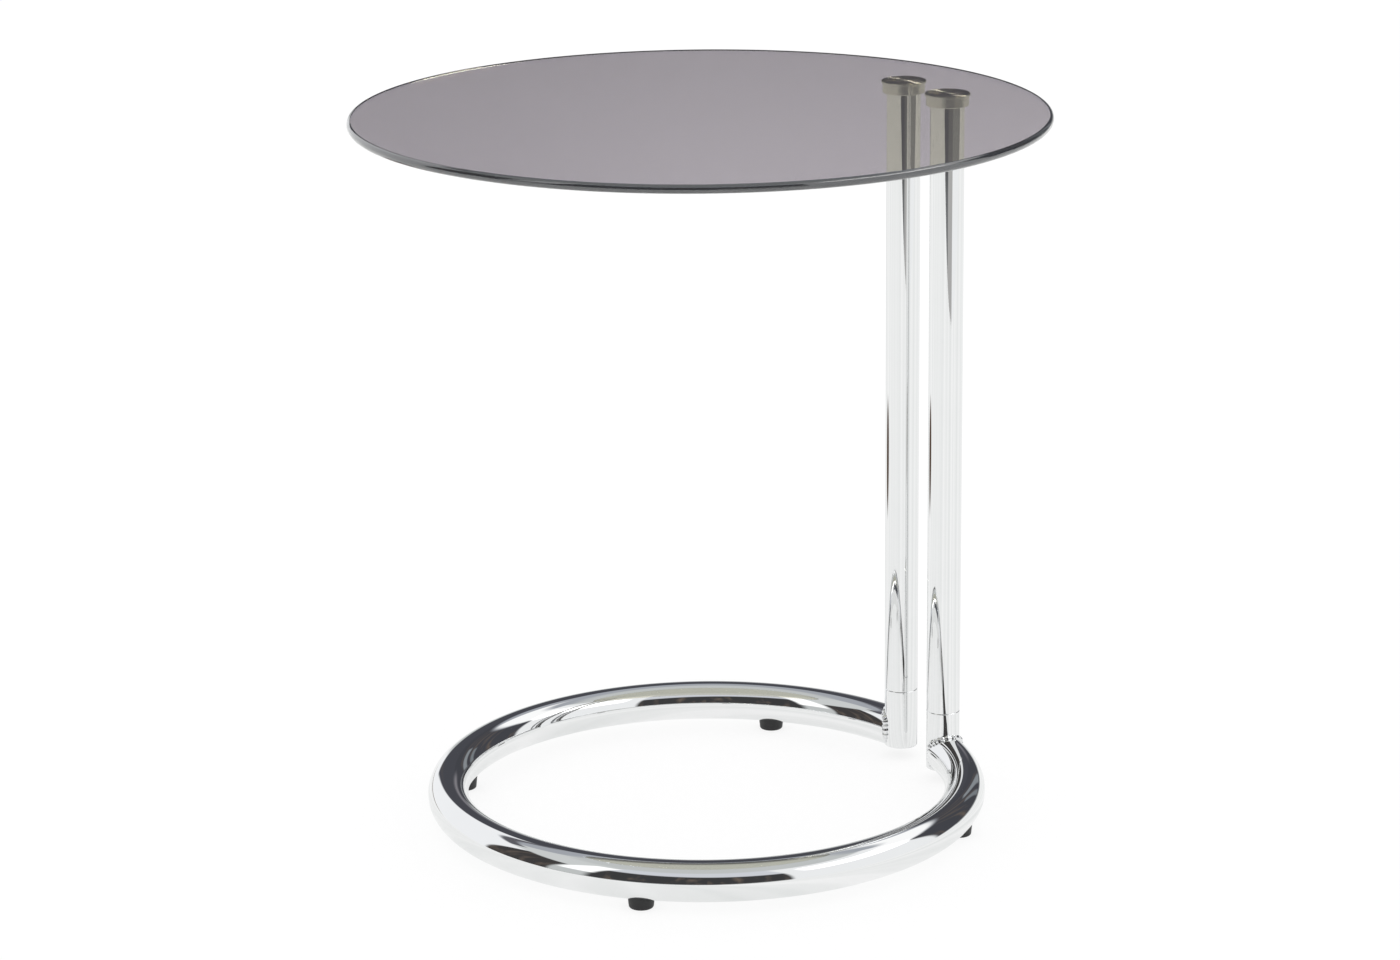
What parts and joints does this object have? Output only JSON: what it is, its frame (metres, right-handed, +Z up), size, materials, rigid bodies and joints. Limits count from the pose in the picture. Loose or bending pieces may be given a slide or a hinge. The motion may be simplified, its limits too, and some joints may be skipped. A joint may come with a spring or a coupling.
{
  "type": "side table",
  "caption": "Round side table: smoked glass disc carried at one side by twin chromed tube uprights on a C-shaped tube ring with rubber feet.",
  "frame": {"origin": "on the floor under the middle of the top", "axes": "+Z up; the uprights stand on the +X side, one each side of the XZ plane; the open side of the table is -X"},
  "size_m": [0.48, 0.48, 0.508],
  "materials": {
    "smoked_glass": "6 mm toughened glass tinted grey, polished faces, pencil-ground rim",
    "chrome": "bright chrome plate on steel tube",
    "turned_steel": "turned, with fine concentric tool marks",
    "plain_steel": "plain machined steel, inside the tubes",
    "zinc_steel": "bright zinc plate",
    "clear_glue": "clear cured adhesive",
    "black_plastic": "moulded black plastic",
    "rubber": "moulded black rubber, matt"
  },
  "bodies": {
    "root": {"glass_top": "smoked_glass", "base_ring": "chrome", "glue_film_left": "clear_glue", "glue_film_right": "clear_glue", "glass_cap_left": "turned_steel", "glass_cap_right": "turned_steel", "post_left": "chrome", "post_right": "chrome", "top_plug_left": "plain_steel", "top_plug_right": "plain_steel", "bottom_plug_left": "plain_steel", "bottom_plug_right": "plain_steel", "stub_left": "chrome", "stub_right": "chrome", "web_plate_left": "plain_steel", "web_plate_right": "plain_steel", "washer_left": "zinc_steel", "washer_right": "zinc_steel", "lock_washer_left": "zinc_steel", "lock_washer_right": "zinc_steel", "post_bolt_left": "zinc_steel", "post_bolt_right": "zinc_steel", "end_cap_left": "black_plastic", "end_cap_right": "black_plastic", "ring_weld_left": "chrome", "ring_weld_right": "chrome", "foot_back_left": "rubber", "foot_screw_back_left": "zinc_steel", "foot_front_left": "rubber", "foot_screw_front_left": "zinc_steel", "foot_front_right": "rubber", "foot_screw_front_right": "zinc_steel", "foot_back_right": "rubber", "foot_screw_back_right": "zinc_steel"}
  },
  "joints": []
}
